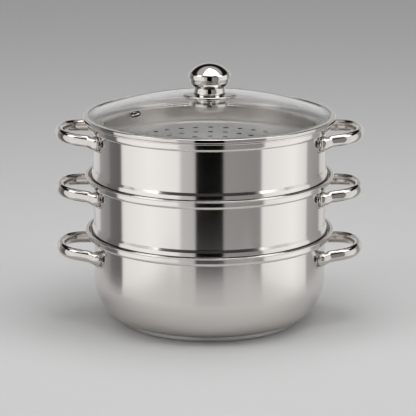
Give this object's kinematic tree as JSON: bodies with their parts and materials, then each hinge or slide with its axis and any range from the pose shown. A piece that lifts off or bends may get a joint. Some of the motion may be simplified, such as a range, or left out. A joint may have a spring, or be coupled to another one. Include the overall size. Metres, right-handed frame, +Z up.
{
  "type": "steamer pot",
  "caption": "Stainless steel stacking steamer pot with perforated tiers, loop handles and a domed glass lid.",
  "frame": {"origin": "centre of the base, on the surface it stands on", "axes": "+Z up along the axis of the pot; X runs through both handles; the lid's vent is towards -X and -Y"},
  "size_m": [0.3554, 0.2904, 0.3002],
  "materials": {
    "steel_body": "stainless steel, fine brushing round the wall",
    "steel_plate": "stainless steel, satin",
    "steel_base": "stainless steel, satin",
    "steel_band": "stainless steel, mirror polished",
    "polished_steel": "stainless steel, mirror polished",
    "handle_steel": "cast stainless steel, mirror polished",
    "rivet_steel": "stainless steel, polished",
    "insert_steel": "turned steel",
    "screw_steel": "stainless steel",
    "aluminium_core": "plain aluminium",
    "lid_glass": "clear tempered glass",
    "dark_silicone": "black silicone, matt"
  },
  "bodies": {
    "pot": {"pot_body": "steel_body", "pot_base_core": "aluminium_core", "pot_base_cap": "steel_base", "pot_handle_left": "handle_steel", "pot_brackets_left": "polished_steel", "pot_handle_right": "handle_steel", "pot_brackets_right": "polished_steel", "pot_rivets": "rivet_steel"},
    "lower_steamer": {"lower_steamer_shell": "steel_body", "lower_steamer_plate": "steel_plate", "lower_steamer_handle_left": "handle_steel", "lower_steamer_brackets_left": "polished_steel", "lower_steamer_handle_right": "handle_steel", "lower_steamer_brackets_right": "polished_steel", "lower_steamer_rivets": "rivet_steel"},
    "upper_steamer": {"upper_steamer_shell": "steel_body", "upper_steamer_plate": "steel_plate", "upper_steamer_handle_left": "handle_steel", "upper_steamer_brackets_left": "polished_steel", "upper_steamer_handle_right": "handle_steel", "upper_steamer_brackets_right": "polished_steel", "upper_steamer_rivets": "rivet_steel"},
    "lid": {"lid_glass": "lid_glass", "lid_band": "steel_band", "vent_eyelet": "polished_steel", "vent_seal": "dark_silicone", "knob_base": "polished_steel", "knob_gasket": "dark_silicone", "knob_cup": "polished_steel", "knob_cap": "polished_steel", "knob_insert": "insert_steel", "under_gasket": "dark_silicone", "under_cup": "polished_steel", "knob_screw": "screw_steel"}
  },
  "joints": [
    {"name": "lower_steamer_lift", "type": "slide", "parent": "pot", "child": "lower_steamer", "axis": [0, 0, 1], "range_m": [0, 0.12]},
    {"name": "upper_steamer_lift", "type": "slide", "parent": "lower_steamer", "child": "upper_steamer", "axis": [0, 0, 1], "range_m": [0, 0.12]},
    {"name": "lid_lift", "type": "slide", "parent": "upper_steamer", "child": "lid", "axis": [0, 0, 1], "range_m": [0, 0.12]}
  ]
}
